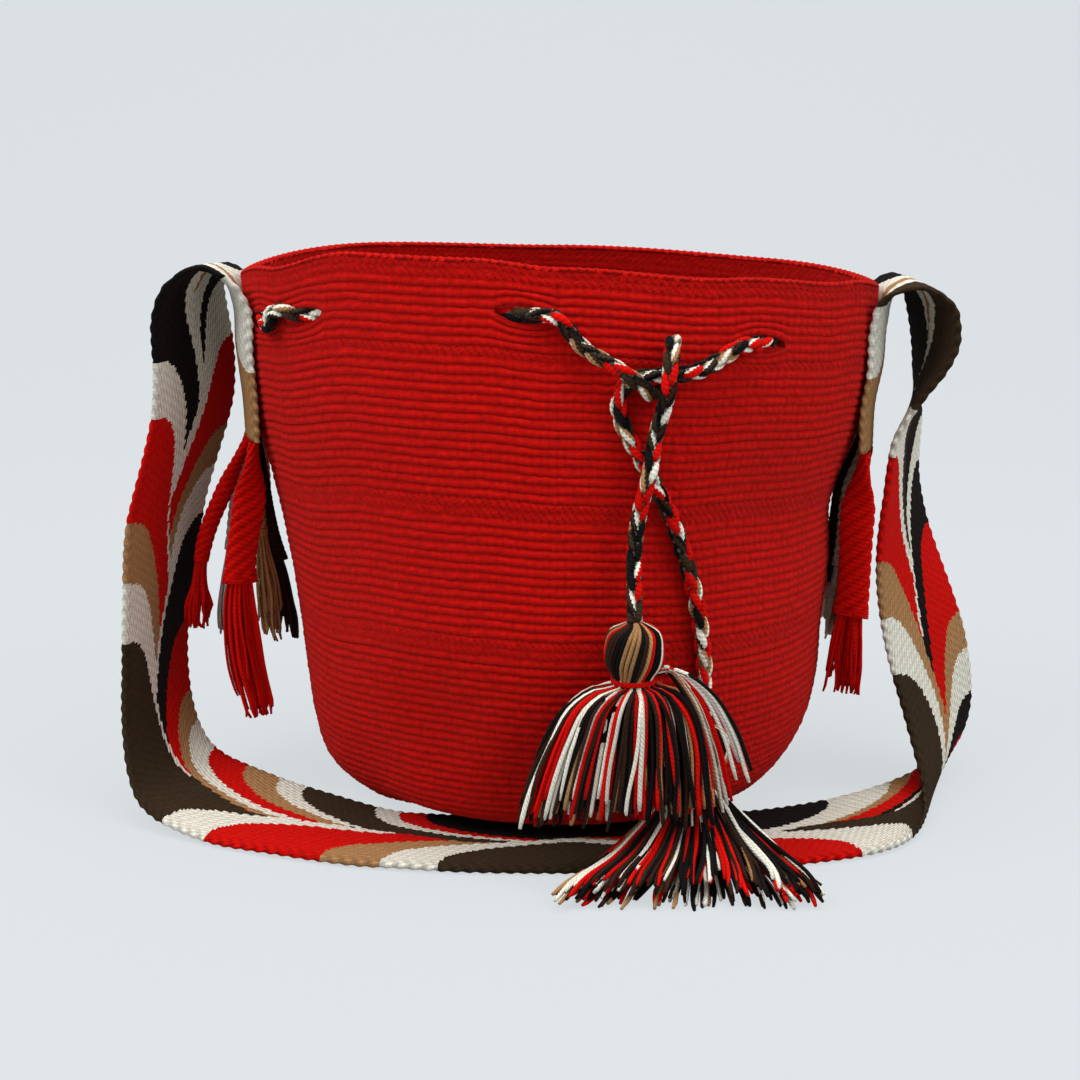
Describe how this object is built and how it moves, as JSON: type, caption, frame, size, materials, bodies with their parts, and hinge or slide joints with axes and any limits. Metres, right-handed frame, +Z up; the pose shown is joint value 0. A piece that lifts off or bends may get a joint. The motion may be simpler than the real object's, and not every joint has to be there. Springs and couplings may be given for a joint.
{
  "type": "crochet bucket bag",
  "caption": "Red crocheted bucket bag with a wide woven shoulder strap, fringe tails and a braided drawstring that ends in tassels.",
  "frame": {"origin": "middle of the base on the surface that the bag stands on", "axes": "+Z up, the front with the knot and the tassels towards -Y, the strap's ends at -X and +X"},
  "size_m": [0.4534, 0.3171, 0.2945],
  "materials": {
    "body_yarn": "matte crocheted cotton",
    "strap_weave": "matte woven cotton in red, cream, tan and dark brown flames",
    "red_tail": "matte twisted cotton",
    "cream_tail": "matte twisted cotton",
    "tan_tail": "matte twisted cotton",
    "dark_tail": "matte twisted cotton",
    "cord_braid": "matte round braid of red, cream, tan and dark yarns",
    "tassel_yarn": "matte loose yarns, dark brown, red, cream and tan",
    "tassel_tie": "matte wound cotton"
  },
  "bodies": {
    "root": {"bag_body": "body_yarn", "shoulder_strap": "strap_weave", "left_tail_wide_red": "red_tail", "left_tail_thin_red": "red_tail", "left_tail_cream": "cream_tail", "left_tail_tan": "tan_tail", "left_tail_dark": "dark_tail", "left_tail_rear_cream": "cream_tail", "right_tail_wide_red": "red_tail", "right_tail_thin_red": "red_tail", "right_tail_tan": "tan_tail", "right_tail_cream": "cream_tail", "right_tail_dark": "dark_tail", "right_tail_rear_cream": "cream_tail", "drawstring": "cord_braid", "tassel_upper_yarn": "tassel_yarn", "tassel_upper_tie": "tassel_tie", "tassel_lower_yarn": "tassel_yarn", "tassel_lower_tie": "tassel_tie"}
  },
  "joints": []
}
